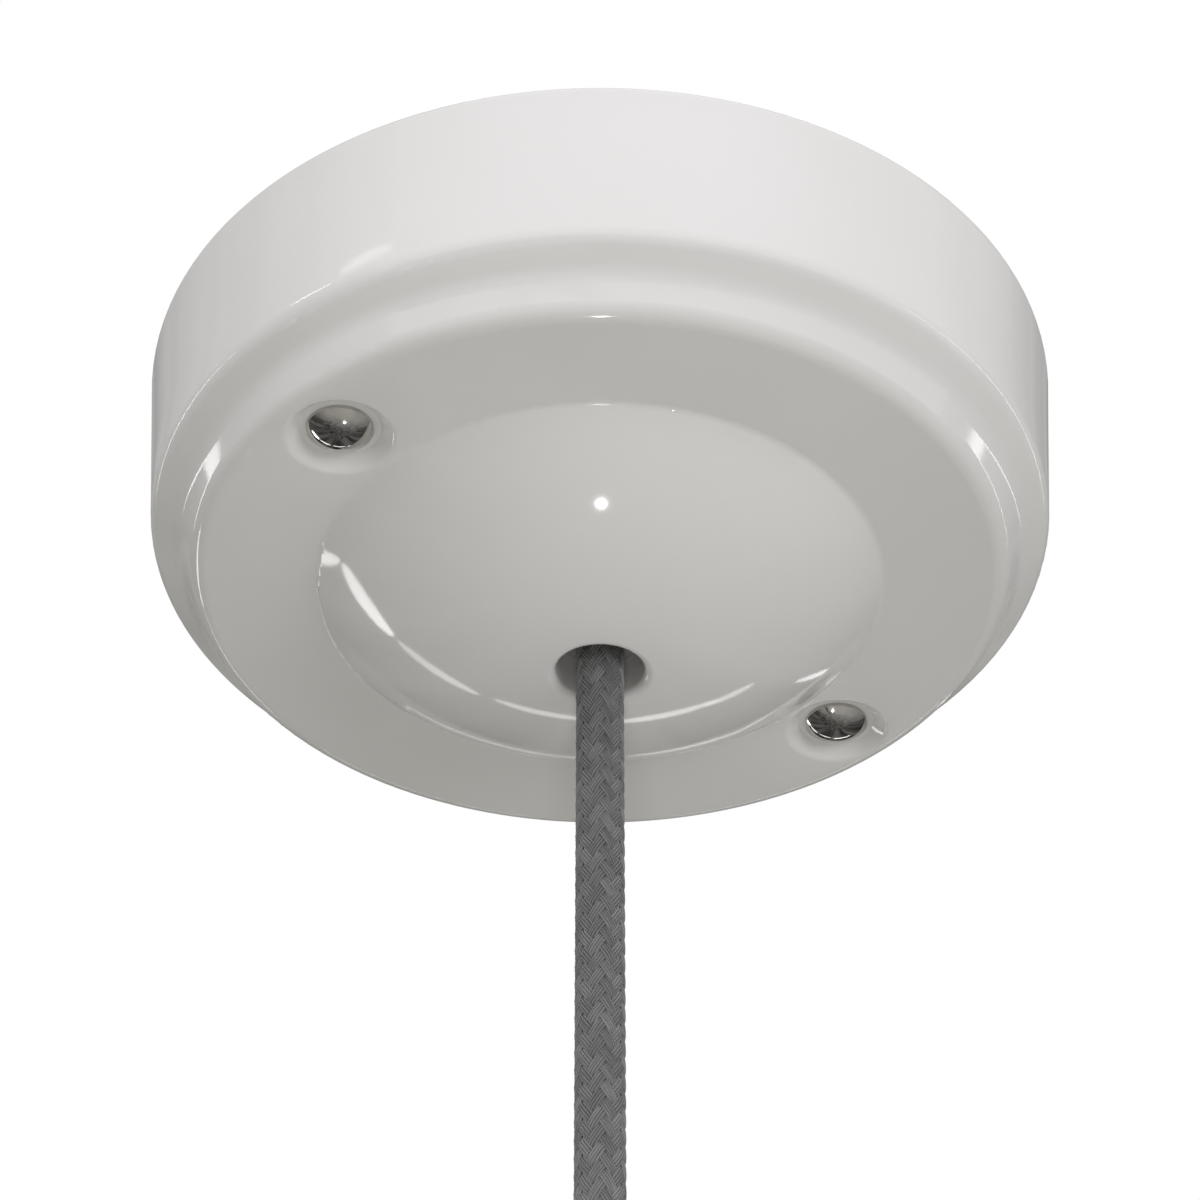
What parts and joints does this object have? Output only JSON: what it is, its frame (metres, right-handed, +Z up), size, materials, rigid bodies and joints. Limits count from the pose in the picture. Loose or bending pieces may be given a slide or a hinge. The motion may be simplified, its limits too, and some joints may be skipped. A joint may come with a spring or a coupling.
{
  "type": "electrical ceiling rose",
  "caption": "White glazed porcelain ceiling rose with a domed face, polished screw caps, a steel ceiling bracket, terminals, a cord grip and a straight grey braided pendant cord.",
  "frame": {"origin": "centre of the bracket's upper face, in the plane of the ceiling and on the axis of the cord", "axes": "+Z up into the ceiling, +X through the two fixing screws, +Y towards the terminal block"},
  "size_m": [0.1168, 0.1168, 0.165],
  "materials": {
    "porcelain": "gloss white glaze",
    "polished_nickel": "polished",
    "zinc_steel": "bright zinc plating",
    "brass": "plain",
    "copper": "plain strand",
    "tinned": "tinned",
    "white_nylon": "moulded",
    "grey_nylon": "moulded",
    "grey_braid": "herringbone braid",
    "shrink_sleeve": "satin",
    "brown_insulation": "satin",
    "blue_insulation": "satin"
  },
  "bodies": {
    "root": {"rose_body": "porcelain", "fixing_screws": "zinc_steel", "screw_caps": "polished_nickel", "mounting_bracket": "zinc_steel", "earth_screw": "brass", "earth_washer": "brass", "terminal_block": "white_nylon", "terminal_tube_live": "brass", "terminal_tube_neutral": "brass", "terminal_screws": "zinc_steel", "block_screw": "zinc_steel", "cord_grip_base": "grey_nylon", "cord_grip_bar": "grey_nylon", "cord_grip_screws": "zinc_steel", "pendant_cord": "grey_braid", "cord_end_sleeve": "shrink_sleeve", "core_live": "brown_insulation", "core_neutral": "blue_insulation", "core_tips": "copper", "tail_live": "brown_insulation", "tail_neutral": "blue_insulation", "tail_ferrules": "tinned"}
  },
  "joints": []
}
